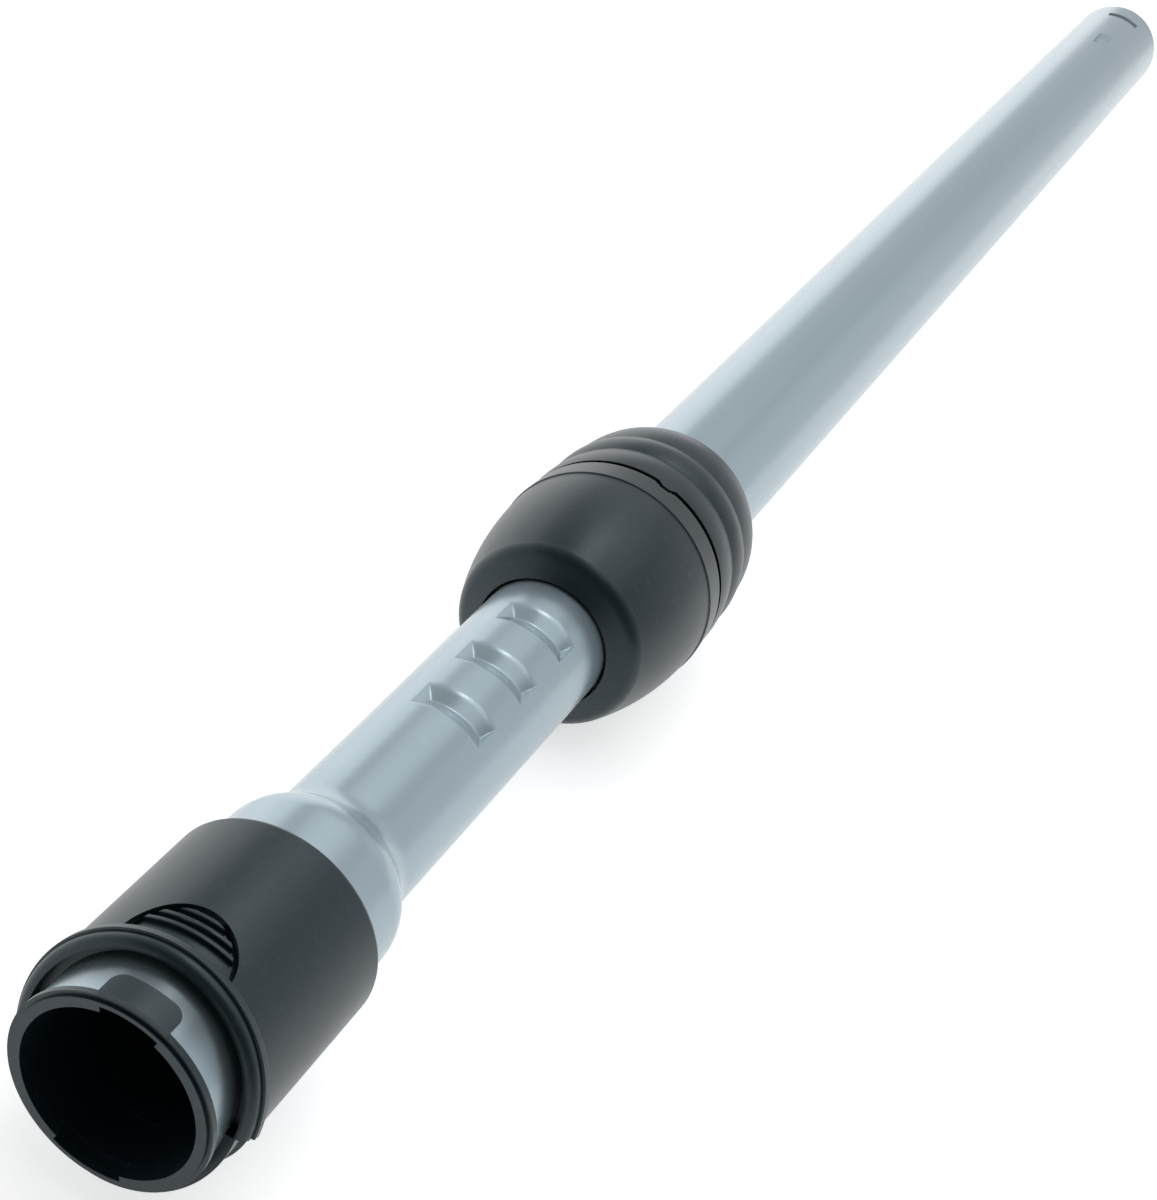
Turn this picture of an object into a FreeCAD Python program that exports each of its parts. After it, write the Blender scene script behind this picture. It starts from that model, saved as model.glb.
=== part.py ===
"""Telescopic vacuum wand: two steel tubes, a sliding release collar and a keyed hose socket.

The wand lies along +X with the socket mouth at the origin, +Z runs up through the socket key,
and every size is in millimetres.
"""
import FreeCAD, Part
import math
import os

import Sketcher

V = FreeCAD.Vector
X_AXIS = V(1, 0, 0)

# Driving sizes: alias, value, what it is
SIZES = [
    ("outer_tube_od", 35.0, "outside of the lower tube"),
    ("outer_tube_length", 539.5, "length of the lower tube"),
    ("inner_tube_od", 30.5, "outside of the upper tube"),
    ("inner_tube_tail", 528.5, "tail end of the upper tube"),
    ("tube_wall", 0.7, "sheet of both tubes"),
    ("swage_depth", 0.3, "step that narrows the mouth of the lower tube"),
    ("swage_length", 44.5, "length of the swaged mouth with its cone"),
    ("swage_run", 3.0, "length of the swage cone"),
    ("end_round", 0.3, "broken edge of a cut tube end"),
    ("flare_od", 39.2, "outside of the flared socket"),
    ("shoulder_start", 63.5, "end of the straight flare"),
    ("shoulder_length", 14.0, "length of the ogee shoulder"),
    ("notch_first", 115.9, "first lock notch"),
    ("notch_pitch", 19.45, "from one lock notch to the next"),
    ("notch_count", 18, "lock notches in the row"),
    ("notch_floor", 0.6, "flat floor of a notch along the tube"),
    ("notch_near_run", 4.0, "ramp of a notch, towards the socket"),
    ("notch_far_run", 3.9, "ramp of a notch, away from the socket"),
    ("notch_depth", 1.7, "depth of a notch"),
    ("notch_sweep", 62.0, "angle that a notch takes round the tube"),
    ("notch_turn", 7.5, "turn of the notch row from the socket key"),
    ("swell_margin", 5.0, "extra angle of the swelling inside a pressed recess"),
    ("lock_index", 4, "notch that stands under the roller in the pictured setting"),
    ("slot_setback", 14.5, "lock slot for the floor nozzle, from the free end"),
    ("slot_floor", 2.2, "flat floor of that slot"),
    ("slot_ramp", 1.0, "each side of that slot"),
    ("slot_depth", 1.4, "depth of that slot"),
    ("slot_sweep", 42.0, "angle that the slot takes"),
    ("dimple_setback", 53.0, "index dimple, from the free end"),
    ("dimple_floor", 5.0, "floor of the dimple"),
    ("dimple_ramp", 5.0, "each side of the dimple"),
    ("dimple_depth", 0.9, "depth of the dimple"),
    ("dimple_sweep", 17.0, "angle that the dimple takes"),
    ("seat_gap", 0.05, "gap at a seat"),
    ("slide_gap", 0.3, "gap beside a sliding or turning face"),
    ("socket_bore", 34.6, "bore of the socket liner"),
    ("liner_length", 56.0, "length of the liner"),
    ("rim_height", 0.6, "how far the liner's rim stands out over the tube"),
    ("rim_depth", 1.8, "thickness of the rim"),
    ("rim_face", 2.0, "width of the rim's raised front ring"),
    ("rim_step", 0.6, "height of that front ring"),
    ("key_depth", 3.0, "how far the upper key recess runs in"),
    ("low_key_depth", 3.8, "how far the lower key recess runs in"),
    ("key_wall", 0.4, "liner left outside a key recess"),
    ("key_sweep", 36.0, "angle of the upper key recess"),
    ("low_key_sweep", 44.0, "angle of the lower key recess"),
    ("low_groove_end", 13.75, "end of the shallow groove behind the lower key"),
    ("low_groove_depth", 0.5, "depth of that groove"),
    ("low_groove_sweep", 40.0, "angle of that groove"),
    ("tab_length", 6.2, "length of the key tab"),
    ("tab_thick", 1.6, "thickness of the key tab"),
    ("tab_sweep", 38.0, "angle of the key tab"),
    ("tab_corner", 2.6, "corner of the key tab"),
    ("sleeve_play", 1.45, "space between the tube and the inside of the cuff"),
    ("sleeve_wall", 1.5, "wall of the cuff"),
    ("sleeve_end", 53.0, "rear edge of the cuff"),
    ("sleeve_land", 8.0, "land inside the rear of the cuff, on the tube"),
    ("sleeve_round", 1.4, "rounding of the rear edge"),
    ("sleeve_turn", -6.0, "turn of the cuff from the socket key"),
    ("tongue_step", 0.95, "step from the cuff down to its front tongue"),
    ("tongue_land", 2.0, "how far the seat of the tongue runs behind its step"),
    ("tongue_end", 11.0, "where the tongue steps up to the cuff"),
    ("flange_mid", 6.7, "front of the slanted flange on the axis"),
    ("flange_tilt", 13.2, "slant of the flange"),
    ("flange_height", 1.55, "how far the flange's band stands out over the cuff"),
    ("flange_lift", 0.7, "how far the flange's centre stands above the axis"),
    ("flange_thick", 4.1, "thickness of the flange"),
    ("flange_drop", 2.0, "how far the flange runs below the axis"),
    ("lip_thick", 2.2, "thickness of the rounded lip in front of the band"),
    ("lip_step", 0.6, "step from the band down to the lip"),
    ("lip_width", 2.2, "width of the lip's front face before it is rounded"),
    ("lip_recess", 2.4, "depth of the recess inside the lip"),
    ("lip_round", 1.8, "rounding of the lip"),
    ("band_round", 0.3, "broken edges of the band"),
    ("window_place", 15.2, "centre of the button window"),
    ("window_d", 21.8, "diameter of the button window"),
    ("window_gap", 1.0, "gap between the window and the button"),
    ("button_front", 17.2, "front edge of the button"),
    ("button_rise", 1.35, "space under the button's pad"),
    ("pad_thick", 0.45, "thickness of the pad"),
    ("pad_sweep", 70.0, "angle that the pad takes before it is trimmed round"),
    ("rib_height", 0.95, "height of the finger ribs"),
    ("rib_width", 1.0, "width of a finger rib"),
    ("rib_pitch", 2.15, "from one finger rib to the next"),
    ("rib_first", 19.7, "first finger rib"),
    ("rib_count", 3, "finger ribs"),
    ("rib_round", 0.25, "rounding of the finger ribs"),
    ("stem_d", 6.0, "stem of the button"),
    ("stem_place", 20.4, "centre of the stem"),
    ("stem_inset", 0.35, "how far the stem stops short of the bore"),
    ("leaf_thick", 0.4, "button spring strip"),
    ("leaf_width", 5.0, "width of that strip"),
    ("leaf_length", 18.0, "length of that strip behind the stem"),
    ("leaf_flat", 1.0, "flat of its raised end under the pad"),
    ("leaf_ramp", 5.0, "sloped part behind that flat"),
    ("mouth_lag", 9.8, "mouth of the lower tube behind the lock roller"),
    ("roller_d", 5.0, "lock roller"),
    ("roller_length", 16.0, "length of the lock roller"),
    ("cage_depth", 2.45, "bush head beside the roller, above the roller's centre"),
    ("bush_lead", 22.5, "bush in front of the lower tube's mouth"),
    ("bush_flange_rim", 1.85, "bush flange outside the spring"),
    ("bush_flange_thick", 4.0, "thickness of that flange"),
    ("bush_tail", 28.5, "bush inside the lower tube"),
    ("seal_setback", 3.0, "bush seal, from the front of the bush"),
    ("seal_width", 3.0, "width of the bush seal"),
    ("seal_depth", 1.5, "depth of the bush seal's groove"),
    ("rivet_setback", 12.5, "bush rivets, from the mouth of the lower tube"),
    ("rivet_shank_d", 2.4, "shank of a rivet"),
    ("rivet_head_d", 4.4, "head of a rivet"),
    ("rivet_head_thick", 0.7, "thickness of a rivet head"),
    ("cam_lead", 6.7, "cam insert in front of the roller"),
    ("cam_sweep", 48.0, "angle that the cam insert takes"),
    ("cam_drop", 2.5, "depth of the cam's sides below its middle"),
    ("cam_rise", 1.0, "rise of the cam's ramp"),
    ("cam_depth", 4.5, "room for the cam between roller and collar"),
    ("spring_wire", 1.5, "wire of the collar spring"),
    ("spring_play", 1.95, "space between that spring and the tube"),
    ("spring_turns", 4.0, "turns of the collar spring"),
    ("collar_wall", 2.2, "wall of the collar"),
    ("collar_lead", 34.5, "collar in front of the lower tube's mouth"),
    ("opening_play", 0.75, "space between the collar's front opening and the upper tube"),
    ("lip_depth", 5.0, "depth of the rounded nose"),
    ("nose_drop", 4.65, "how far the end of the nose lies inside the belly"),
    ("nose_round", 4.4, "radius between the nose's face and the flank"),
    ("face_width", 4.3, "width of the nose's flat face round the opening"),
    ("face_depth", 1.8, "set-back of that face at its rim"),
    ("flank_length", 28.0, "egg flank from the nose to the band"),
    ("flank_round", 87.0, "radius of the egg's flank"),
    ("band_step", 0.3, "height of the band over the flank"),
    ("band_width", 7.0, "width of the band in front of the seam"),
    ("band_fall", 0.35, "fall of the band towards the seam"),
    ("seam_cut", 0.15, "broken edges at the seam"),
    ("seam_gap", 0.4, "width of the seam"),
    ("catch_depth", 1.1, "small catch of the rear half in the seam"),
    ("catch_sweep", 9.0, "angle of that catch at its foot"),
    ("catch_play", 1.4, "extra angle of the recess for that catch"),
    ("catch_turn", 9.0, "turn of that catch from the socket key"),
    ("rear_drop", 0.35, "how far the rear half starts below the belly"),
    ("ridge_one", 11.3, "first ridge of the rear half"),
    ("ridge_one_round", 25.0, "radius of that ridge"),
    ("groove_one_drop", 1.15, "first soft groove, below the belly"),
    ("ridge_two", 8.5, "second ridge of the rear half"),
    ("ridge_two_round", 12.0, "radius of that ridge"),
    ("groove_two_drop", 1.5, "second soft groove, below the belly"),
    ("tail_length", 18.7, "rear dome"),
    ("tail_round", 24.0, "radius of the rear dome"),
    ("tail_lip", 1.2, "wall at the end of the dome"),
    ("rear_lip", 4.0, "closing lip of the rear half"),
    ("rib_setback", 19.0, "spring rib behind the seam"),
    ("rib_thick", 3.0, "thickness of that rib"),
    ("spigot_length", 5.4, "snap spigot of the rear half"),
    ("spigot_wall", 1.6, "wall of that spigot"),
    ("ring_length", 25.0, "glide ring on the tail"),
    ("ring_cap", 3.0, "cap of the glide ring past the tube's tail"),
    ("tail_seal_place", 10.0, "tail seal, from the front of the glide ring"),
    ("tail_seal_width", 4.0, "width of the tail seal"),
    ("tail_seal_depth", 0.6, "depth of the tail seal's groove"),
]

doc = FreeCAD.newDocument("vacuum_wand")
sheet = doc.addObject("Spreadsheet::Sheet", "dims")
for row, (alias, value, meaning) in enumerate(SIZES, start=1):
    sheet.set(f"A{row}", meaning)
    sheet.set(f"B{row}", str(value))
    sheet.setAlias(f"B{row}", alias)
doc.recompute()


class Size:
    """A number that remembers the spreadsheet expression it came from."""

    def __init__(self, text, value):
        self.text = text
        self.value = float(value)

    @staticmethod
    def of(other):
        return other if isinstance(other, Size) else Size(repr(float(other)), other)

    def __add__(self, other):
        other = Size.of(other)
        return Size(f"({self.text} + {other.text})", self.value + other.value)

    def __sub__(self, other):
        other = Size.of(other)
        return Size(f"({self.text} - {other.text})", self.value - other.value)

    def __mul__(self, other):
        other = Size.of(other)
        return Size(f"({self.text} * {other.text})", self.value * other.value)

    def __truediv__(self, other):
        other = Size.of(other)
        return Size(f"({self.text} / {other.text})", self.value / other.value)

    def __neg__(self):
        return Size(f"(-1 * {self.text})", -self.value)

    def root(self):
        return Size(f"sqrt({self.text})", math.sqrt(self.value))


class Sizes:
    """Every driving size as an attribute, read from the spreadsheet."""

    def __init__(self):
        for alias, _, _ in SIZES:
            setattr(self, alias, Size(f"dims.{alias}", sheet.get(alias)))


d = Sizes()
ZERO = Size("0", 0)

# Radii that several pieces share
outer_r = d.outer_tube_od / 2
outer_bore_r = outer_r - d.tube_wall
swage_r = outer_r - d.swage_depth
swage_bore_r = swage_r - d.tube_wall
inner_r = d.inner_tube_od / 2
inner_bore_r = inner_r - d.tube_wall
flare_r = d.flare_od / 2
flare_bore_r = flare_r - d.tube_wall
socket_r = d.socket_bore / 2
liner_r = flare_bore_r - d.seat_gap
seat_r = flare_r + d.seat_gap
cuff_inside_r = flare_r + d.sleeve_play
cuff_r = cuff_inside_r + d.sleeve_wall
pad_r = flare_r + d.button_rise
pad_top_r = pad_r + d.pad_thick
guide_r = inner_r + d.slide_gap
roller_r = d.roller_d / 2
roller_height = inner_r + d.slide_gap + roller_r
cam_low = roller_height + roller_r + d.slide_gap
belly_r = cam_low + d.cam_depth + d.collar_wall
belly_inside_r = belly_r - d.collar_wall
on_tube_r = outer_r + d.slide_gap
spring_r = outer_r + d.spring_play + d.spring_wire / 2
spigot_r = belly_inside_r - d.seat_gap
glide_r = outer_bore_r - d.slide_gap

# Places along the wand that several pieces share
lock_place = d.notch_first + d.notch_pitch * d.lock_index
mouth = lock_place + d.mouth_lag
bush_flange_front = mouth - d.bush_flange_thick
bush_front = mouth - d.bush_lead
seal_place = bush_front + d.seal_setback
rivet_place = mouth + d.rivet_setback
collar_front = mouth - d.collar_lead
nose_end = collar_front + d.lip_depth
belly_place = nose_end + d.flank_length
seam = belly_place + d.band_width
groove_one = seam + d.ridge_one
groove_two = groove_one + d.ridge_two
collar_end = groove_two + d.tail_length
rib_place = seam + d.rib_setback
outer_end = mouth + d.outer_tube_length
stem_back = d.stem_place + d.stem_d / 2 + d.slide_gap
land_front = d.sleeve_end - d.sleeve_land


def new_body(label):
    body = doc.addObject("PartDesign::Body", label)
    body.Label = label
    return body


def origin_plane(body, role):
    return next(f for f in body.Origin.OriginFeatures if f.Role == role)


def new_sketch(body, name, role, turn=None):
    """A sketch on one of the body's own origin planes, turned about the wand's axis if asked."""
    sketch = body.newObject("Sketcher::SketchObject", f"{body.Name}_{name}")
    sketch.AttachmentSupport = [(origin_plane(body, role), "")]
    sketch.MapMode = "FlatFace"
    if turn is not None:
        sketch.AttachmentOffset = FreeCAD.Placement(V(0, 0, 0), FreeCAD.Rotation(X_AXIS, turn.value))
        sketch.setExpression("AttachmentOffset.Rotation.Angle", turn.text)
    return sketch


def pin_point(sketch, geo, pos, place):
    """Ties a point of the sketch to its two sizes, measured from the origin."""
    for kind, axis, size in (("DistanceX", -2, place[0]), ("DistanceY", -1, place[1])):
        size = Size.of(size)
        if abs(size.value) < 1e-9:
            sketch.addConstraint(Sketcher.Constraint("PointOnObject", geo, pos, axis))
            continue
        if size.value > 0:
            constraint = Sketcher.Constraint(kind, -1, 1, geo, pos, size.value)
            text = size.text
        else:
            constraint = Sketcher.Constraint(kind, geo, pos, -1, 1, -size.value)
            text = (-size).text
        index = sketch.addConstraint(constraint)
        sketch.setExpression(f"Constraints[{index}]", text)


def arc_between(start, end, radius, large=False):
    """The arc from start to end with its centre on the left for a positive radius."""
    chord = end - start
    half = chord.Length / 2
    rise = math.sqrt(max(radius * radius - half * half, 0.0))
    left = V(-chord.y, chord.x, 0).normalize()
    side = math.copysign(1.0, radius) * (-1.0 if large else 1.0)
    centre = (start + end) / 2 + left * (rise * side)
    away = (start + end) / 2 - centre
    if away.Length < 1e-9:
        away = left * -math.copysign(1.0, radius)
    away.normalize()
    middle = centre + away * (-abs(radius) if large else abs(radius))
    return Part.Arc(start, middle, end)


def outline(sketch, corners):
    """A closed outline through corners (x, y); (x, y, radius) arrives by an arc of that radius."""
    points = [V(Size.of(c[0]).value, Size.of(c[1]).value, 0) for c in corners]
    ends = []
    for i, corner in enumerate(corners):
        start, end = points[i - 1], points[i]
        if len(corner) == 2:
            curve = Part.LineSegment(start, end)
        else:
            curve = arc_between(start, end, Size.of(corner[2]).value, len(corner) > 3)
        geo = sketch.addGeometry(curve, False)
        first = 1 if sketch.getPoint(geo, 1).distanceToPoint(start) < 1e-6 else 2
        ends.append((geo, first, 3 - first))
    for i, corner in enumerate(corners):
        geo, first, last = ends[i]
        before = ends[i - 1]
        sketch.addConstraint(Sketcher.Constraint("Coincident", before[0], before[2], geo, first))
        pin_point(sketch, geo, last, corner)
        if len(corner) > 2:
            radius = Size.of(corner[2])
            index = sketch.addConstraint(Sketcher.Constraint("Radius", geo, abs(radius.value)))
            sketch.setExpression(f"Constraints[{index}]", f"abs({radius.text})")


def circle(sketch, centre, radius):
    geo = sketch.addGeometry(Part.Circle(V(centre[0].value, centre[1].value, 0), V(0, 0, 1), radius.value))
    pin_point(sketch, geo, 3, centre)
    index = sketch.addConstraint(Sketcher.Constraint("Radius", geo, radius.value))
    sketch.setExpression(f"Constraints[{index}]", radius.text)


def turned(body, name, corners, sweep=None, turn=None, cut=False):
    """Turns an outline drawn in the XZ plane about the wand's axis, all round or over a sweep."""
    sketch = new_sketch(body, f"{name}_outline", "XZ_Plane", turn)
    outline(sketch, corners)
    kind = "PartDesign::Groove" if cut else "PartDesign::Revolution"
    feature = body.newObject(kind, f"{body.Name}_{name}")
    feature.Profile = sketch
    feature.ReferenceAxis = (sketch, ["H_Axis"])
    feature.Angle = 360.0
    if sweep is not None:
        feature.Midplane = True
        feature.Angle = sweep.value
        feature.setExpression("Angle", sweep.text)
    return feature


def extruded(body, name, role, corners, length, turn=None, cut=False, both=True, hole=None):
    """Pads or pockets an outline, or a round hole, by a length: both ways, or along the normal."""
    sketch = new_sketch(body, f"{name}_outline", role, turn)
    if hole is None:
        outline(sketch, corners)
    else:
        circle(sketch, *hole)
    kind = "PartDesign::Pocket" if cut else "PartDesign::Pad"
    feature = body.newObject(kind, f"{body.Name}_{name}")
    feature.Profile = sketch
    feature.Midplane = both
    feature.Reversed = cut and not both
    feature.Length = length.value
    feature.setExpression("Length", length.text)
    return feature


def rounded(body, feature, radius, wanted, kind="PartDesign::Fillet"):
    """Rounds or bevels the feature's edges that the test picks out."""
    doc.recompute()
    names = [f"Edge{i}" for i, edge in enumerate(feature.Shape.Edges, start=1) if wanted(edge)]
    if not names:
        raise RuntimeError(f"no edge to round on {body.Label}")
    step = body.newObject(kind, f"{feature.Name}_edge")
    step.Base = (feature, names)
    prop = "Radius" if kind.endswith("Fillet") else "Size"
    setattr(step, prop, radius.value)
    step.setExpression(prop, radius.text)
    return step


def ring_at(x, r, tolerance=1e-3):
    """Picks the circular edges round the wand's axis at place x with radius r."""
    def wanted(edge):
        curve = edge.Curve
        if not isinstance(curve, Part.Circle):
            return False
        centre = curve.Center
        on_axis = abs(centre.y) < tolerance and abs(centre.z) < tolerance
        return on_axis and abs(centre.x - x.value) < tolerance and abs(curve.Radius - r.value) < tolerance
    return wanted


def turn_body(body, turn):
    body.Placement = FreeCAD.Placement(V(0, 0, 0), FreeCAD.Rotation(X_AXIS, turn.value))
    body.setExpression("Placement.Rotation.Angle", turn.text)


def pressed_recess(body, name, tube_r, place, floor, near_run, far_run, depth, sweep, turn=None):
    """A recess pressed into a tube: the sheet bulges inwards as far as the recess is deep."""
    front = place - floor / 2
    back = place + floor / 2
    skin_r = tube_r + d.slide_gap
    floor_r = tube_r - depth
    bore_r = tube_r - d.tube_wall
    margin = d.tube_wall
    swell = turned(body, f"{name}_swell", [
        (front - near_run - margin, bore_r + margin / 2),
        (front - near_run - margin, bore_r),
        (front - margin / 2, floor_r - margin),
        (back + margin / 2, floor_r - margin),
        (back + far_run + margin, bore_r),
        (back + far_run + margin, bore_r + margin / 2),
    ], sweep=sweep + d.swell_margin, turn=turn)
    hollow = turned(body, f"{name}_hollow", [
        (front - near_run, skin_r),
        (front - near_run, tube_r),
        (front, floor_r),
        (back, floor_r),
        (back + far_run, tube_r),
        (back + far_run, skin_r),
    ], sweep=sweep, turn=turn, cut=True)
    return swell, hollow


def make_inner_tube():
    body = new_body("inner_tube")
    run = d.shoulder_length
    fall = flare_r - inner_r
    bend = (run * run + fall * fall) / (fall * 4)
    start = d.shoulder_start
    middle = start + run / 2
    end = start + run
    half_fall = fall / 2
    tube = turned(body, "tube", [
        (d.rim_depth, flare_r),
        (d.rim_depth, flare_bore_r),
        (start, flare_bore_r),
        (middle, flare_bore_r - half_fall, -bend),
        (end, inner_bore_r, bend),
        (d.inner_tube_tail, inner_bore_r),
        (d.inner_tube_tail, inner_r),
        (end, inner_r),
        (middle, flare_r - half_fall, -bend),
        (start, flare_r, bend),
    ])
    swell, hollow = pressed_recess(
        body, "notch", inner_r, d.notch_first, d.notch_floor, d.notch_near_run, d.notch_far_run,
        d.notch_depth, d.notch_sweep, d.notch_turn)
    row = body.newObject("PartDesign::LinearPattern", "inner_tube_notch_row")
    row.Originals = [swell, hollow]
    row.Direction = (tube.Profile[0], ["H_Axis"])
    row.Length = (d.notch_pitch * (d.notch_count - 1)).value
    row.setExpression("Length", (d.notch_pitch * (d.notch_count - 1)).text)
    row.Occurrences = int(d.notch_count.value)
    row.setExpression("Occurrences", d.notch_count.text)
    body.Tip = row
    extruded(body, "stem_hole", "XY_Plane", None, flare_r + d.tab_thick, turn=d.sleeve_turn, cut=True,
             both=False, hole=((d.stem_place, ZERO), d.stem_d / 2 + d.slide_gap))
    return body


def make_socket_liner():
    body = new_body("socket_liner")
    rim_r = flare_r + d.rim_height
    lip_r = socket_r + d.rim_face
    turned(body, "shell", [
        (ZERO, lip_r),
        (ZERO, socket_r),
        (d.liner_length, socket_r),
        (d.liner_length, liner_r),
        (d.rim_depth, liner_r),
        (d.rim_depth, rim_r),
        (d.rim_step, rim_r),
        (d.rim_step, lip_r),
    ])
    tab = turned(body, "tab", [
        (d.rim_step, seat_r),
        (d.tab_length, seat_r),
        (d.tab_length, seat_r + d.tab_thick),
        (d.rim_step, seat_r + d.tab_thick),
    ], sweep=d.tab_sweep)
    reach = seat_r + d.tab_thick / 2

    def rear_corner(edge):
        middle = edge.CenterOfMass
        radius = math.hypot(middle.y, middle.z)
        straight = isinstance(edge.Curve, Part.Line)
        return straight and abs(middle.x - d.tab_length.value) < 0.01 and abs(radius - reach.value) < 0.1
    rounded(body, tab, d.tab_corner, rear_corner)
    key_r = liner_r - d.key_wall
    groove_r = socket_r + d.low_groove_depth
    for name, sweep, side, run, floor_r in (
        ("upper_key", d.key_sweep, 1, d.key_depth, key_r),
        ("lower_key", d.low_key_sweep, -1, d.low_key_depth, key_r),
        ("lower_groove", d.low_groove_sweep, -1, d.low_groove_end, groove_r),
    ):
        turned(body, name, [
            (-d.rim_depth, (socket_r - d.rim_depth) * side),
            (run, (socket_r - d.rim_depth) * side),
            (run, floor_r * side),
            (-d.rim_depth, floor_r * side),
        ], sweep=sweep, cut=True)
    extruded(body, "stem_hole", "XY_Plane", None, flare_r, turn=d.sleeve_turn, cut=True, both=False,
             hole=((d.stem_place, ZERO), d.stem_d / 2 + d.slide_gap))
    return body


def make_connector_sleeve():
    body = new_body("connector_sleeve")
    tongue_r = cuff_r - d.tongue_step
    seat_end = d.tongue_end + d.tongue_land
    reach = cuff_r * 2
    shell = turned(body, "shell", [
        (d.rim_step, tongue_r),
        (d.rim_step, seat_r),
        (seat_end, seat_r),
        (seat_end, cuff_inside_r),
        (land_front, cuff_inside_r),
        (land_front, seat_r),
        (d.sleeve_end, seat_r),
        (d.sleeve_end, cuff_r),
        (d.tongue_end, cuff_r),
        (d.tongue_end, tongue_r),
    ])
    rounded(body, shell, d.sleeve_round, ring_at(d.sleeve_end, cuff_r))
    tilt = math.radians(d.flange_tilt.value)
    slope = Size(f"tan({d.flange_tilt.text})", math.tan(tilt))
    sine = Size(f"sin({d.flange_tilt.text})", math.sin(tilt))
    cosine = Size(f"cos({d.flange_tilt.text})", math.cos(tilt))
    extruded(body, "slant", "XZ_Plane", [
        (d.flange_mid - slope * reach, -reach),
        (d.flange_mid + slope * reach, reach),
        (-reach, reach),
        (-reach, -reach),
    ], reach * 2, cut=True)
    extruded(body, "window", "XY_Plane", None, reach, cut=True, both=False,
             hole=((d.window_place, ZERO), d.window_d / 2))

    def slanted_disc(name, start, thick, radius, kind="PartDesign::Pad"):
        """A disc on the slanted plane, added or cut, that stops straight a little below the axis."""
        sketch = new_sketch(body, f"{name}_outline", "YZ_Plane")
        sketch.AttachmentOffset = FreeCAD.Placement(V(0, 0, 0), FreeCAD.Rotation(X_AXIS, d.flange_tilt.value))
        sketch.setExpression("AttachmentOffset.Base.y", (-(sine * start)).text)
        sketch.setExpression("AttachmentOffset.Base.z", (d.flange_mid + cosine * start).text)
        sketch.setExpression("AttachmentOffset.Rotation.Angle", d.flange_tilt.text)
        below = d.flange_drop + d.flange_lift
        wide = (radius * radius - below * below).root()
        outline(sketch, [(wide, -d.flange_drop), (-wide, -d.flange_drop, radius, "large")])
        disc = body.newObject(kind, f"connector_sleeve_{name}")
        disc.Profile = sketch
        disc.Reversed = kind == "PartDesign::Pocket"
        disc.Length = thick.value
        disc.setExpression("Length", thick.text)
        return disc

    def arc_of(radius):
        def wanted(edge):
            curve = edge.Curve
            return isinstance(curve, Part.Circle) and abs(curve.Radius - radius.value) < 1e-3
        return wanted
    band_r = cuff_r + d.flange_height
    lip_r = band_r - d.lip_step
    band = slanted_disc("band", d.lip_thick, d.flange_thick - d.lip_thick, band_r)
    rounded(body, band, d.band_round, arc_of(band_r))
    lip = slanted_disc("lip", ZERO, d.lip_thick, lip_r)
    front = d.flange_mid + sine * d.flange_lift

    def lip_front(edge):
        return arc_of(lip_r)(edge) and abs(edge.Curve.Center.x - front.value) < 0.1
    rounded(body, lip, d.lip_round, lip_front)
    turned(body, "bore", [
        (-reach, ZERO),
        (d.button_front, ZERO),
        (d.button_front, seat_r),
        (-reach, seat_r),
    ], cut=True)
    slanted_disc("recess", ZERO, d.lip_recess, lip_r - d.lip_width, "PartDesign::Pocket")
    turn_body(body, d.sleeve_turn)
    return body


def make_release_button():
    body = new_body("release_button")
    button_r = d.window_d / 2 - d.window_gap
    tall = pad_top_r + d.rib_height
    back = d.window_place + button_r
    extruded(body, "stem", "XY_Plane", None, pad_r + d.pad_thick / 2, both=False,
             hole=((d.stem_place, ZERO), d.stem_d / 2))
    turned(body, "stem_end", [
        (d.stem_place - d.stem_d, ZERO),
        (d.stem_place + d.stem_d, ZERO),
        (d.stem_place + d.stem_d, socket_r + d.stem_inset),
        (d.stem_place - d.stem_d, socket_r + d.stem_inset),
    ], cut=True)
    turned(body, "pad", [
        (d.button_front, pad_r),
        (back, pad_r),
        (back, pad_top_r),
        (d.button_front, pad_top_r),
    ], sweep=d.pad_sweep)
    corner = d.rib_round
    foot = pad_top_r - d.pad_thick / 2
    rib = turned(body, "rib", [
        (d.rib_first, foot),
        (d.rib_first + d.rib_width, foot),
        (d.rib_first + d.rib_width, tall - corner),
        (d.rib_first + d.rib_width - corner, tall, corner),
        (d.rib_first + corner, tall),
        (d.rib_first, tall - corner, corner),
    ], sweep=d.pad_sweep)
    row = body.newObject("PartDesign::LinearPattern", "release_button_rib_row")
    row.Originals = [rib]
    row.Direction = (rib.Profile[0], ["H_Axis"])
    row.Length = (d.rib_pitch * (d.rib_count - 1)).value
    row.setExpression("Length", (d.rib_pitch * (d.rib_count - 1)).text)
    row.Occurrences = int(d.rib_count.value)
    row.setExpression("Occurrences", d.rib_count.text)
    body.Tip = row
    trim = new_sketch(body, "trim_outline", "XY_Plane")
    circle(trim, (d.window_place, ZERO), button_r)
    circle(trim, (d.window_place, ZERO), d.window_d * 2)
    cut = body.newObject("PartDesign::Pocket", "release_button_trim")
    cut.Profile = trim
    cut.Reversed = True
    cut.Length = (tall * 2).value
    cut.setExpression("Length", (tall * 2).text)
    turn_body(body, d.sleeve_turn)
    return body


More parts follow.
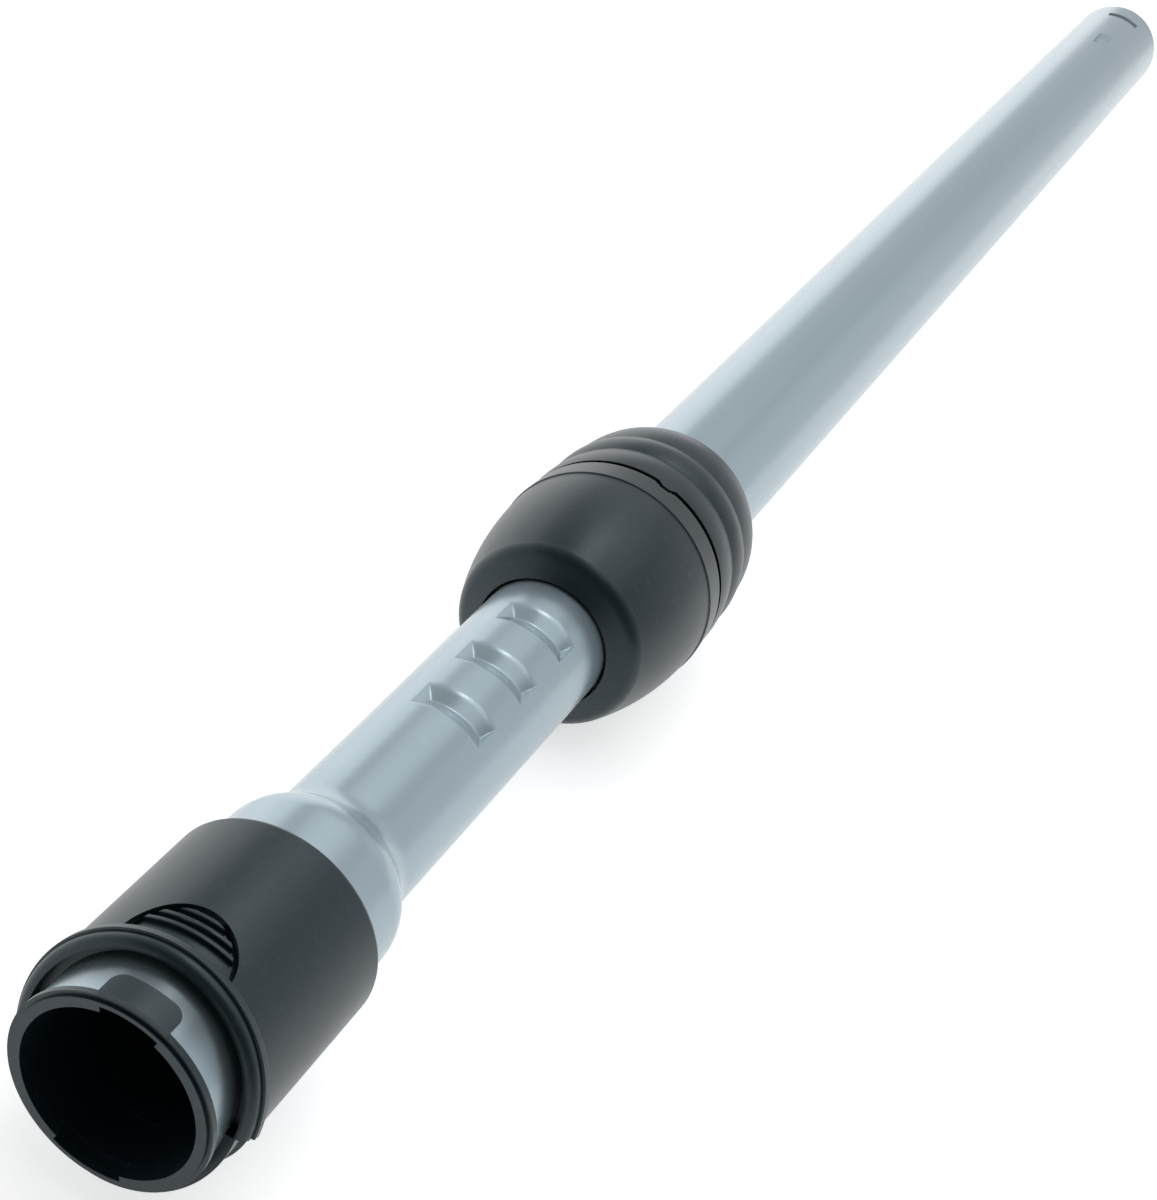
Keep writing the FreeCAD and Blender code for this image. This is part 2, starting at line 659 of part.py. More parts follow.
def make_button_spring():
    """Leaf under the button: its tail is hooked up behind, its front end lies under the pad."""
    body = new_body("button_spring")
    strip = d.leaf_thick
    half = d.leaf_width / 2
    low = flare_r + d.seat_gap
    high = (pad_r * pad_r - half * half).root() - d.seat_gap - strip
    hook = (cuff_inside_r * cuff_inside_r - half * half).root() - d.seat_gap
    tail = stem_back + d.leaf_length
    flat = stem_back + d.leaf_flat
    bend = flat + d.leaf_ramp
    extruded(body, "leaf", "XZ_Plane", [
        (tail, low),
        (tail, hook),
        (tail - strip, hook),
        (tail - strip, low + strip),
        (bend, low + strip),
        (flat, high + strip),
        (stem_back, high + strip),
        (stem_back, high),
        (flat, high),
        (bend, low),
    ], d.leaf_width)
    turn_body(body, d.sleeve_turn)
    return body


def make_tail_glide_ring():
    body = new_body("tail_glide_ring")
    front = d.inner_tube_tail - d.ring_length
    back = d.inner_tube_tail + d.ring_cap
    on_tail_r = inner_r + d.seat_gap
    groove = front + d.tail_seal_place
    groove_r = glide_r - d.tail_seal_depth
    turned(body, "ring", [
        (front, glide_r),
        (front, on_tail_r),
        (d.inner_tube_tail, on_tail_r),
        (d.inner_tube_tail, inner_bore_r),
        (back, inner_bore_r),
        (back, glide_r),
        (groove + d.tail_seal_width, glide_r),
        (groove + d.tail_seal_width, groove_r),
        (groove, groove_r),
        (groove, glide_r),
    ])
    return body


def make_tail_seal():
    body = new_body("tail_seal")
    start = d.inner_tube_tail - d.ring_length + d.tail_seal_place + d.seat_gap
    end = start + d.tail_seal_width - d.seat_gap * 2
    turned(body, "ring", [
        (start, glide_r),
        (start, glide_r - d.tail_seal_depth + d.seat_gap),
        (end, glide_r - d.tail_seal_depth + d.seat_gap),
        (end, glide_r),
    ])
    return body


def make_outer_tube():
    body = new_body("outer_tube")
    swage_end = mouth + d.swage_length
    cone = swage_end - d.swage_run
    tube = turned(body, "tube", [
        (mouth, swage_r),
        (mouth, swage_bore_r),
        (cone, swage_bore_r),
        (swage_end, outer_bore_r),
        (outer_end, outer_bore_r),
        (outer_end, outer_r),
        (swage_end, outer_r),
        (cone, swage_r),
    ])
    rounded(body, tube, d.end_round, ring_at(outer_end, outer_r))
    pressed_recess(body, "slot", outer_r, outer_end - d.slot_setback, d.slot_floor, d.slot_ramp, d.slot_ramp,
                   d.slot_depth, d.slot_sweep)
    pressed_recess(body, "dimple", outer_r, outer_end - d.dimple_setback, d.dimple_floor, d.dimple_ramp,
                   d.dimple_ramp, d.dimple_depth, d.dimple_sweep)
    extruded(body, "rivet_holes", "XZ_Plane", None, outer_r * 3, cut=True,
             hole=((rivet_place, ZERO), d.rivet_shank_d / 2 + d.seat_gap))
    return body


def make_guide_bush():
    body = new_body("guide_bush")
    head_r = roller_height + d.cage_depth
    flange_r = spring_r + d.spring_wire / 2 + d.bush_flange_rim
    tail_r = swage_bore_r - d.seat_gap
    seal_r = guide_r + d.seal_depth
    tail = mouth + d.bush_tail
    turned(body, "bush", [
        (bush_front, head_r),
        (bush_front, guide_r),
        (seal_place, guide_r),
        (seal_place, seal_r),
        (seal_place + d.seal_width, seal_r),
        (seal_place + d.seal_width, guide_r),
        (tail, guide_r),
        (tail, tail_r),
        (mouth, tail_r),
        (mouth, flange_r),
        (bush_flange_front, flange_r),
        (bush_flange_front, head_r),
    ])
    cage_half = roller_r + d.slide_gap
    cage_side = d.roller_length / 2 + d.slide_gap
    extruded(body, "cage", "XY_Plane", [
        (lock_place - cage_half, -cage_side),
        (lock_place + cage_half, -cage_side),
        (lock_place + cage_half, cage_side),
        (lock_place - cage_half, cage_side),
    ], head_r * 2, cut=True, both=False)
    extruded(body, "rivet_holes", "XZ_Plane", None, outer_r * 3, cut=True, turn=-d.notch_turn,
             hole=((rivet_place, ZERO), d.rivet_shank_d / 2 + d.seat_gap))
    turn_body(body, d.notch_turn)
    return body


def make_bush_seal():
    body = new_body("bush_seal")
    start = seal_place + d.seat_gap
    end = seal_place + d.seal_width - d.seat_gap
    seal_r = guide_r + d.seal_depth - d.seat_gap
    lip = d.seal_width / 3
    turned(body, "ring", [
        (start, seal_r),
        (start, guide_r + lip),
        (start + lip, guide_r),
        (end - lip, guide_r),
        (end, guide_r + lip),
        (end, seal_r),
    ])
    return body


def make_bush_rivets():
    """A pair of rivets, one each side, drawn as one bar and parted in the middle."""
    body = new_body("bush_rivets")
    shank_r = d.rivet_shank_d / 2
    inside = guide_r + d.seat_gap
    seat = swage_r + d.seat_gap
    at = (rivet_place, ZERO)
    extruded(body, "bar", "XZ_Plane", None, (seat + d.rivet_head_thick) * 2, hole=(at, d.rivet_head_d / 2))
    sketch = new_sketch(body, "waist_outline", "XZ_Plane")
    circle(sketch, at, shank_r)
    circle(sketch, at, d.rivet_head_d)
    waist = body.newObject("PartDesign::Pocket", "bush_rivets_waist")
    waist.Profile = sketch
    waist.Midplane = True
    waist.Length = (seat * 2).value
    waist.setExpression("Length", (seat * 2).text)
    extruded(body, "parting", "XZ_Plane", None, inside * 2, cut=True, hole=(at, d.rivet_head_d))
    return body


def make_lock_roller():
    body = new_body("lock_roller")
    extruded(body, "roller", "XZ_Plane", None, d.roller_length,
             hole=((lock_place, roller_height), roller_r))
    turn_body(body, d.notch_turn)
    return body


def front_shell_inside():
    """Start and end of the flank inside the front half, and its radius."""
    wall = d.collar_wall
    start = (nose_end + wall / 2, belly_inside_r - d.nose_drop)
    end = (belly_place, belly_inside_r)
    return start, end, d.flank_round - wall


def flank_height(x, start, end, radius):
    """Height at x of the outward arc between two points of a profile."""
    run = end[0] - start[0]
    climb = end[1] - start[1]
    chord = (run * run + climb * climb).root()
    sink = (radius * radius - chord * chord / 4).root()
    centre_x = (start[0] + end[0]) / 2 + sink * climb / chord
    centre_r = (start[1] + end[1]) / 2 - sink * run / chord
    return centre_r + (radius * radius - (x - centre_x) * (x - centre_x)).root()


def make_cam_insert():
    body = new_body("cam_insert")
    front = lock_place - d.cam_lead
    back = bush_flange_front - d.slide_gap
    flank = front_shell_inside()
    root_r = cam_low - d.cam_drop
    turned(body, "block", [
        (front, root_r),
        (back, root_r),
        (back, flank_height(back, *flank) - d.seat_gap),
        (front, flank_height(front, *flank) - d.seat_gap),
    ], sweep=d.cam_sweep)
    extruded(body, "ramp", "XZ_Plane", [
        (front - d.cam_rise, ZERO),
        (front - d.cam_rise, cam_low),
        (lock_place, cam_low),
        (back + d.cam_rise, cam_low + d.cam_rise),
        (back + d.cam_rise, ZERO),
    ], outer_r * 3, cut=True)
    turn_body(body, d.notch_turn)
    return body


def catch_steps():
    """The catch in the seam narrows in two steps: name, angle and depth of each."""
    return [
        ("catch_foot", d.catch_sweep, d.catch_depth / 2),
        ("catch_tip", d.catch_sweep / 2, d.catch_depth),
    ]


def make_collar_front_shell():
    body = new_body("collar_front_shell")
    wall = d.collar_wall
    opening_r = inner_r + d.opening_play
    band_r = belly_r + d.band_step
    seam_r = band_r - d.band_fall
    flank_start, flank_end, flank_round = front_shell_inside()
    turned(body, "shell", [
        (collar_front, opening_r),
        (collar_front + wall, opening_r),
        (collar_front + wall, opening_r + wall),
        flank_start,
        (*flank_end, -flank_round),
        (seam, belly_inside_r),
        (seam, seam_r - d.seam_cut),
        (seam - d.seam_cut, seam_r),
        (belly_place + d.band_step, band_r),
        (belly_place, belly_r),
        (nose_end, belly_r - d.nose_drop, d.flank_round),
        (collar_front + d.face_depth, opening_r + d.face_width, d.nose_round),
    ])
    for name, sweep, depth in catch_steps():
        turned(body, f"seam_{name}", [
            (seam - depth, belly_inside_r - d.slide_gap),
            (seam + d.seam_gap, belly_inside_r - d.slide_gap),
            (seam + d.seam_gap, belly_r + d.collar_wall),
            (seam - depth, belly_r + d.collar_wall),
        ], sweep=sweep + d.catch_play, turn=d.catch_turn, cut=True)
    return body


def make_collar_rear_shell():
    body = new_body("collar_rear_shell")
    wall = d.collar_wall
    start_r = belly_r - d.rear_drop
    one_r = belly_r - d.groove_one_drop
    two_r = belly_r - d.groove_two_drop
    end_r = on_tube_r + d.tail_lip
    rib_end = rib_place + d.rib_thick
    lip = collar_end - d.rear_lip
    inner_spigot_r = spigot_r - d.spigot_wall
    start = seam + d.seam_gap
    turned(body, "shell", [
        (start, spigot_r),
        (seam - d.spigot_length, spigot_r),
        (seam - d.spigot_length, inner_spigot_r),
        (rib_place, inner_spigot_r),
        (rib_place, on_tube_r),
        (rib_end, on_tube_r),
        (rib_end, two_r - wall * 1.5),
        (lip, end_r),
        (lip, on_tube_r),
        (collar_end, on_tube_r),
        (collar_end, end_r),
        (groove_two, two_r, d.tail_round),
        (groove_one, one_r, d.ridge_two_round),
        (start + d.seam_cut, start_r, d.ridge_one_round),
        (start, start_r - d.seam_cut),
    ])
    for name, sweep, depth in catch_steps():
        turned(body, name, [
            (start - depth, spigot_r - d.spigot_wall / 2),
            (start + d.seam_cut, spigot_r - d.spigot_wall / 2),
            (start + d.seam_cut, start_r - d.seam_cut),
            (start - depth, start_r - d.seam_cut),
        ], sweep=sweep, turn=d.catch_turn)
    return body


def make_collar_spring():
    """Return spring between the bush flange and the rib of the rear half."""
    start = mouth + d.seat_gap + d.spring_wire / 2
    end = rib_place - d.seat_gap - d.spring_wire / 2
    body = new_body("collar_spring")
    sketch = new_sketch(body, "wire", "XZ_Plane")
    circle(sketch, (start, spring_r), d.spring_wire / 2)
    coil = body.newObject("PartDesign::AdditiveHelix", "collar_spring_coil")
    coil.Profile = sketch
    coil.ReferenceAxis = (sketch, ["H_Axis"])
    coil.Mode = "height-turns-angle"
    coil.Height = (end - start).value
    coil.setExpression("Height", (end - start).text)
    coil.Turns = d.spring_turns.value
    coil.setExpression("Turns", d.spring_turns.text)
    return body


MAKERS = [
    make_inner_tube, make_socket_liner, make_connector_sleeve, make_release_button, make_button_spring,
    make_tail_glide_ring, make_tail_seal, make_outer_tube, make_guide_bush, make_bush_seal,
    make_bush_rivets, make_lock_roller, make_cam_insert, make_collar_front_shell,
    make_collar_rear_shell, make_collar_spring,
]
pieces = [maker() for maker in MAKERS]
doc.recompute()

faults = [o.Name for o in doc.Objects if "Invalid" in o.State or "Error" in o.State]
if faults:
    raise RuntimeError(f"failed features: {faults}")
for piece in pieces:
    if piece.Shape.isNull() or not piece.Shape.isValid():
        raise RuntimeError(f"bad shape: {piece.Label}")

os.makedirs("parts", exist_ok=True)
for piece in pieces:
    piece.Shape.exportStep(f"parts/{piece.Label}.step")
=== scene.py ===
"""Telescopic vacuum wand: finishes, fine detail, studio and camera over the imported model."""

import math

import bpy
import bmesh
from mathutils import Matrix, Vector


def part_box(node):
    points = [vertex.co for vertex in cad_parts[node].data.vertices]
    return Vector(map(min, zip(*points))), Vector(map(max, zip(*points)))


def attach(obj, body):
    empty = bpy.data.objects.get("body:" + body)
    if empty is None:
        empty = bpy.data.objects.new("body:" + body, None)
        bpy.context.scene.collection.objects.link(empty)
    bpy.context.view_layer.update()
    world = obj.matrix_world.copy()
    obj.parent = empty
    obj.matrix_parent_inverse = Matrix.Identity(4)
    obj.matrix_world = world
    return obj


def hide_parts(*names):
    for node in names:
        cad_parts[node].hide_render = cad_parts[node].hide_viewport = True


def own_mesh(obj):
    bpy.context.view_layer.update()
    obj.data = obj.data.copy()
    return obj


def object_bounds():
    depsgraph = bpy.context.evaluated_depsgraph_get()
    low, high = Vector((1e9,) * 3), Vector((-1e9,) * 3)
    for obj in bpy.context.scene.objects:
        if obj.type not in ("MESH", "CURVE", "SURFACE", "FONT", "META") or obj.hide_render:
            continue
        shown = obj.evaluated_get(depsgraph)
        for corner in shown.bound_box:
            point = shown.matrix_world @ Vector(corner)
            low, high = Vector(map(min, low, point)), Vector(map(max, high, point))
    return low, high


bl_info = {
    "name": "Telescopic vacuum wand",
    "version": (1, 0, 0),
    "blender": (4, 5, 0),
    "location": "3D View > Sidebar > Wand",
    "description": "Dresses a telescopic vacuum wand and sets up its studio",
    "category": "Object",
}

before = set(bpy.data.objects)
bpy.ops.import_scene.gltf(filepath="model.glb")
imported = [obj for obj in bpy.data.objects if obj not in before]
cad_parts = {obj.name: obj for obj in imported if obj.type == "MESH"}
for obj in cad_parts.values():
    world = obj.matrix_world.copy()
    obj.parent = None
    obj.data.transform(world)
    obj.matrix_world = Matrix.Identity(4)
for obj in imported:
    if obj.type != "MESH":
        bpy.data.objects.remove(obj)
CAD_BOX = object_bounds()
MM = 0.001

# Camera of the photograph, in the wand's frame
IMAGE_HEIGHT_PX = 1200
FOCAL_PX = 2300.0
SENSOR_HEIGHT_MM = 36.0
NEAREST_SEEN = 0.01
CAMERA_PLACE = Vector((-0.2390379, -0.0948939, 0.3009651))
CAMERA_RIGHT = Vector((0.410752, -0.8554796, 0.315337))
CAMERA_UP = Vector((0.4261471, 0.4858928, 0.7630903))
CAMERA_BACK = Vector((-0.8060282, -0.1790609, 0.5641416))

# Band, parting line and catch of the collar; a pair is where a ramp starts and ends
BAND_FRONT = (0.2018, 0.2021)
SEAM_PLACE = 0.2098
CATCH_SIDE = -0.0043
CATCH_DEPTH = 0.0011
# Counted from the seam, and for the catch from its middle
BAND_REAR = (-0.0012, -0.0006)
SEAM_EDGE = (0.00045, 0.00095)
CATCH_EDGE = (0.0006, 0.0026)

# Painted shade on the upper tube, for the flange's dark reflection and shade: it deepens from the mouth to
# the cuff and stops under the cuff's rear end
MOUTH_SHADE_START = (0.0005, 0.009)
MOUTH_SHADE_STOP = (0.050, 0.0525)
MOUTH_SHADE_GAIN = 0.36

# Grain of the finishes, in waves per metre; the steel's few marks are stretched to theirs
LACQUER_PEEL = 900.0
LACQUER_FLAKE = 9000.0
LACQUER_CLOUD = 14.0
PLASTIC_SPARK = 5200.0
PLASTIC_CLOUD = 45.0
PLASTIC_DUST = 420.0
BEARING_FLOW = 60.0
BEARING_GRAIN = 2600.0
RUBBER_BLOOM = 180.0
RUBBER_GRAIN = 3200.0
STEEL_STRETCH = (900.0, 120.0, 120.0)
STEEL_MARKS = 4.0

# Dust on the plastic: where noise turns into specks, how they cover, how much paler the specks are and how
# much paler the collar's band is painted for the light it catches
DUST_EDGE = (0.52, 0.75)
DUST_COVER = 0.6
DUST_AND_BAND_LIGHT_LIFT = 0.022

# Heights of fine relief
SMOOTH_RELIEF = 0.00001
GRAIN_RELIEF = 0.00002

# Tint of the plastic's gloss, colour of the painted shade in the collar's parting line, and plain white
GLOSS_TINT = (0.84, 0.97, 1.0)
SHADE_BLACK = (0.001, 0.001, 0.001)
WHITE = (1.0, 1.0, 1.0)

# Which finish each node of the model takes
NODE_FINISHES = {
    "inner_tube": "tube lacquer",
    "outer_tube": "tube lacquer",
    "socket_liner": "black plastic",
    "connector_sleeve": "black plastic",
    "release_button": "black plastic",
    "collar_front_shell": "collar plastic",
    "collar_rear_shell": "collar plastic",
    "guide_bush": "bearing plastic",
    "tail_glide_ring": "bearing plastic",
    "cam_insert": "bearing plastic",
    "bush_seal": "seal rubber",
    "tail_seal": "seal rubber",
    "button_spring": "spring steel",
    "collar_spring": "spring steel",
    "lock_roller": "spring steel",
    "bush_rivets": "spring steel",
}


class Value:
    """A shader value that adds Math nodes as it is used in Python expressions."""

    def __init__(self, finish, socket):
        self.finish = finish
        self.socket = socket

    def _math(self, operation, *inputs):
        return self.finish.node("ShaderNodeMath", {"operation": operation}, inputs)

    def __add__(self, other):
        return self._math("ADD", self, other)

    def __radd__(self, other):
        return self._math("ADD", other, self)

    def __sub__(self, other):
        return self._math("SUBTRACT", self, other)

    def __rsub__(self, other):
        return self._math("SUBTRACT", other, self)

    def __mul__(self, other):
        return self._math("MULTIPLY", self, other)

    def __rmul__(self, other):
        return self._math("MULTIPLY", other, self)

    def __abs__(self):
        return self._math("ABSOLUTE", self)

    def clamped(self):
        return self._math("MINIMUM", self._math("MAXIMUM", self, 0.0), 1.0)


class Finish:
    """A node tree of a material or a world: one method adds any node."""

    def __init__(self, name, owner=None):
        self.owner = owner or bpy.data.materials.get(name) or bpy.data.materials.new(name)
        self.owner.use_nodes = True
        self.tree = self.owner.node_tree
        self.tree.nodes.clear()

    def _set(self, socket, value):
        if isinstance(value, Value):
            self.tree.links.new(value.socket, socket)
        else:
            socket.default_value = value

    def node(self, kind, settings=None, inputs=(), output=0):
        """Adds a node, applies its settings, then sets or links its inputs; returns one output."""
        node = self.tree.nodes.new(kind)
        for name, value in (settings or {}).items():
            setattr(node, name, value)
        pairs = inputs.items() if isinstance(inputs, dict) else enumerate(inputs)
        for key, value in pairs:
            self._set(node.inputs[key], value)
        return Value(self, node.outputs[output]) if node.outputs else None

    def place(self):
        return self.node("ShaderNodeTexCoord", output="Object")

    def part(self, vector, axis):
        return self.node("ShaderNodeSeparateXYZ", {}, [vector], output=axis)

    def noise(self, vector, scale, detail=2.0, roughness=0.5):
        return self.node("ShaderNodeTexNoise", {}, {
            "Vector": vector, "Scale": scale, "Detail": detail, "Roughness": roughness})

    def ramp(self, value, low, high):
        """Rises smoothly from 0 at low to 1 at high."""
        return self.node("ShaderNodeMapRange", {"interpolation_type": "SMOOTHSTEP"},
                         [value, low, high, 0.0, 1.0])

    def mix(self, factor, first, second):
        return self.node("ShaderNodeMix", {"data_type": "RGBA"}, {0: factor, 6: first, 7: second}, output=2)

    def bump(self, height, distance, strength):
        return self.node("ShaderNodeBump", {}, {
            "Height": height, "Distance": distance, "Strength": strength})

    def surface(self, painted_shade=None, **sockets):
        """Ends the material in a Principled shader, covered with painted shade where its mask is set.

        Underscores in the sockets' names stand for spaces.
        """
        named = {key.replace("_", " "): value for key, value in sockets.items()}
        shader = self.node("ShaderNodeBsdfPrincipled", {}, named)
        # Painted shade: flat black matt covers the shader where the mask is set
        if painted_shade is not None:
            matt = self.node("ShaderNodeBsdfDiffuse", {}, {"Color": rgba(SHADE_BLACK)})
            shader = self.node("ShaderNodeMixShader", {}, [painted_shade, shader, matt])
        self.node("ShaderNodeOutputMaterial", {}, {"Surface": shader})
        return self.owner


def rgba(colour, gain=1.0, lift=0.0):
    """A colour as sockets take it, made stronger or weaker by the gain and paler by the lift."""
    return tuple(min(1.0, gain * c + lift) for c in colour) + (1.0,)


def tube_lacquer(colours):
    """Metallic grey lacquer: faint flake, soft clouding, a little orange peel and painted shade by the
    cuff.
    """
    finish = Finish("tube lacquer")
    place = finish.place()
    along = finish.part(place, "X")
    peel = finish.noise(place, LACQUER_PEEL, detail=1.0)
    flake = finish.noise(place, LACQUER_FLAKE, detail=1.0)
    cloud = finish.noise(place, LACQUER_CLOUD, detail=3.0)
    base = rgba(colours.lacquer)
    deep = finish.mix(flake, rgba(colours.lacquer, gain=0.9), base)
    pale = finish.mix(flake, base, rgba(colours.lacquer, gain=1.08))
    clean = finish.mix(cloud, deep, pale)
    # Painted shade: the lacquer is darkened from the mouth to the cuff, for the flange's dark reflection
    # and shade
    painted_mouth_shade = finish.ramp(along, *MOUTH_SHADE_START) * (1.0 - finish.ramp(along, *MOUTH_SHADE_STOP))
    return finish.surface(
        Base_Color=finish.mix(painted_mouth_shade, clean, rgba(colours.lacquer, gain=MOUTH_SHADE_GAIN)),
        Metallic=colours.lacquer_metal,
        Roughness=colours.lacquer_roughness + 0.05 * (cloud - 0.5),
        Normal=finish.bump(peel * 0.6 + flake * 0.2, SMOOTH_RELIEF, strength=0.12),
    )


def moulded(finish, colours):
    """Sockets of charcoal moulded plastic: fine spark grain, soft clouding and dusty specks."""
    place = finish.place()
    grain = finish.noise(place, PLASTIC_SPARK)
    cloud = finish.noise(place, PLASTIC_CLOUD, detail=3.0)
    dust = finish.ramp(finish.noise(place, PLASTIC_DUST, detail=5.0, roughness=0.65), *DUST_EDGE)
    clean = finish.mix(cloud, rgba(colours.plastic), rgba(colours.plastic, gain=1.25))
    return {
        "Base_Color": finish.mix(dust * DUST_COVER, clean, rgba(colours.plastic, lift=DUST_AND_BAND_LIGHT_LIFT)),
        "Roughness": colours.plastic_roughness + 0.08 * (cloud - 0.5) + 0.05 * grain,
        "Specular_IOR_Level": 0.5,
        "Specular_Tint": rgba(GLOSS_TINT),
        "Normal": finish.bump(grain, GRAIN_RELIEF, strength=0.3),
    }


def black_plastic(colours):
    """Charcoal moulded plastic of the cuff, its button and the socket's liner."""
    finish = Finish("black plastic")
    return finish.surface(**moulded(finish, colours))


def collar_plastic(colours):
    """The same plastic on the collar, with its band painted paler for the light it catches and painted
    shade in the parting line behind it.
    """
    finish = Finish("collar plastic")
    sockets = moulded(finish, colours)
    place = finish.place()
    along = finish.part(place, "X")
    # Painted shade: a black line along the parting line, jogging forward at the catch, for the shade in the
    # gap
    catch = 1.0 - finish.ramp(abs(finish.part(place, "Y") - CATCH_SIDE), *CATCH_EDGE)
    from_seam = along + CATCH_DEPTH * catch - SEAM_PLACE
    seam = 1.0 - finish.ramp(abs(from_seam), *SEAM_EDGE)
    # Painted light: the collar's band is made paler for the light it catches
    band = finish.ramp(along, *BAND_FRONT) * (1.0 - finish.ramp(from_seam, *BAND_REAR))
    painted_band_light = rgba(colours.plastic, lift=DUST_AND_BAND_LIGHT_LIFT)
    sockets["Base_Color"] = finish.mix(band, sockets["Base_Color"], painted_band_light)
    return finish.surface(painted_shade=seam, **sockets)


def bearing_plastic(colours):
    """Natural white bearing plastic with faint flow marks."""
    finish = Finish("bearing plastic")
    place = finish.place()
    flow = finish.noise(place, BEARING_FLOW, detail=3.0)
    grain = finish.noise(place, BEARING_GRAIN)
    return finish.surface(
        Base_Color=finish.mix(flow, rgba(colours.bearing), rgba(colours.bearing, gain=0.9)),
        Roughness=0.4 + 0.15 * grain,
        Normal=finish.bump(grain, GRAIN_RELIEF, strength=0.3),
    )


def seal_rubber(colours):
    """Soft black rubber with a dusty bloom."""
    finish = Finish("seal rubber")
    place = finish.place()
    bloom = finish.noise(place, RUBBER_BLOOM, detail=4.0)
    grain = finish.noise(place, RUBBER_GRAIN)
    return finish.surface(
        Base_Color=finish.mix(bloom * 0.4, rgba(colours.rubber), rgba(colours.rubber, lift=0.03)),
        Roughness=0.7 + 0.15 * grain,
        Normal=finish.bump(grain, GRAIN_RELIEF, strength=0.4),
    )


def spring_steel(colours):
    """Bright drawn steel with fine marks that run round the wand."""
    finish = Finish("spring steel")
    stretched = finish.node("ShaderNodeMapping", {}, {"Vector": finish.place(), "Scale": STEEL_STRETCH})
    marks = finish.noise(stretched, STEEL_MARKS, detail=3.0)
    return finish.surface(
        Base_Color=finish.mix(marks, rgba(colours.steel), rgba(colours.steel, gain=0.8)),
        Metallic=1.0,
        Roughness=0.25 + 0.2 * marks,
        Normal=finish.bump(marks, SMOOTH_RELIEF, strength=0.3),
    )


FINISHES = {
    "tube lacquer": tube_lacquer,
    "black plastic": black_plastic,
    "collar plastic": collar_plastic,
    "bearing plastic": bearing_plastic,
    "seal rubber": seal_rubber,
    "spring steel": spring_steel,
}


def finish_material(context, name):
    return bpy.data.materials.get(name) or FINISHES[name](context.scene.wand_finish)


def dress(obj, material):
    obj.data.materials.clear()
    obj.data.materials.append(material)


def soften(mesh, angle):
    """Smooth shading with edges sharper than the angle, in degrees, kept crisp."""
    mesh.shade_smooth()
    mesh.set_sharp_from_angle(angle=math.radians(angle))


def around(x, radius, angle):
    """A point on a ring round the wand's axis; the angle runs from the top towards the right side."""
    return (x, -radius * math.sin(angle), radius * math.cos(angle))


def spread(stops):
    """Values from the first stop to the last; each stop is (value, step up to the next stop)."""
    values = []
    for (start, step), (end, _) in zip(stops, stops[1:]):
        count = max(1, round((end - start) / step))
        values += [start + (end - start) * index / count for index in range(count)]
    return values + [stops[-1][0]]


def eased(rise, edge):
    """A slope that leaves zero over a rounded edge."""
    if rise <= -edge:
        return 0.0
    if rise >= edge:
        return rise
    return (rise + edge) ** 2 / (4.0 * edge)


def least(depths, sharpness):
    """The least of several depths, with rounded creases where two of them meet."""
    if min(depths) <= 0.0:
        return 0.0
    return sum(depth ** -sharpness for depth in depths) ** (-1.0 / sharpness)


class WandFinish(bpy.types.PropertyGroup):
    """Colours and gloss of the wand."""

    lacquer: bpy.props.FloatVectorProperty(
        name="Lacquer", description="Colour of both tubes", subtype="COLOR", min=0.0, max=1.0,
        default=(0.385, 0.478, 0.527))
    lacquer_metal: bpy.props.FloatProperty(
        name="Lacquer metal", description="Share of metal flake in the lacquer", subtype="FACTOR",
        min=0.0, max=1.0, default=0.55)
    lacquer_roughness: bpy.props.FloatProperty(
        name="Lacquer roughness", description="Gloss of the tubes", subtype="FACTOR", min=0.0, max=1.0,
        default=0.26)
    plastic: bpy.props.FloatVectorProperty(
        name="Plastic", description="Colour of the mouldings", subtype="COLOR", min=0.0, max=1.0,
        default=(0.009, 0.018, 0.025))
    plastic_roughness: bpy.props.FloatProperty(
        name="Plastic roughness", description="Gloss of the mouldings", subtype="FACTOR", min=0.0, max=1.0,
        default=0.33)
    bearing: bpy.props.FloatVectorProperty(
        name="Bearing plastic", description="Colour of the guide bush and rings", subtype="COLOR",
        min=0.0, max=1.0, default=(0.72, 0.72, 0.68))
    rubber: bpy.props.FloatVectorProperty(
        name="Rubber", description="Colour of the seals", subtype="COLOR", min=0.0, max=1.0,
        default=(0.02, 0.02, 0.021))
    steel: bpy.props.FloatVectorProperty(
        name="Steel", description="Colour of springs, roller and rivets", subtype="COLOR", min=0.0, max=1.0,
        default=(0.62, 0.62, 0.61))


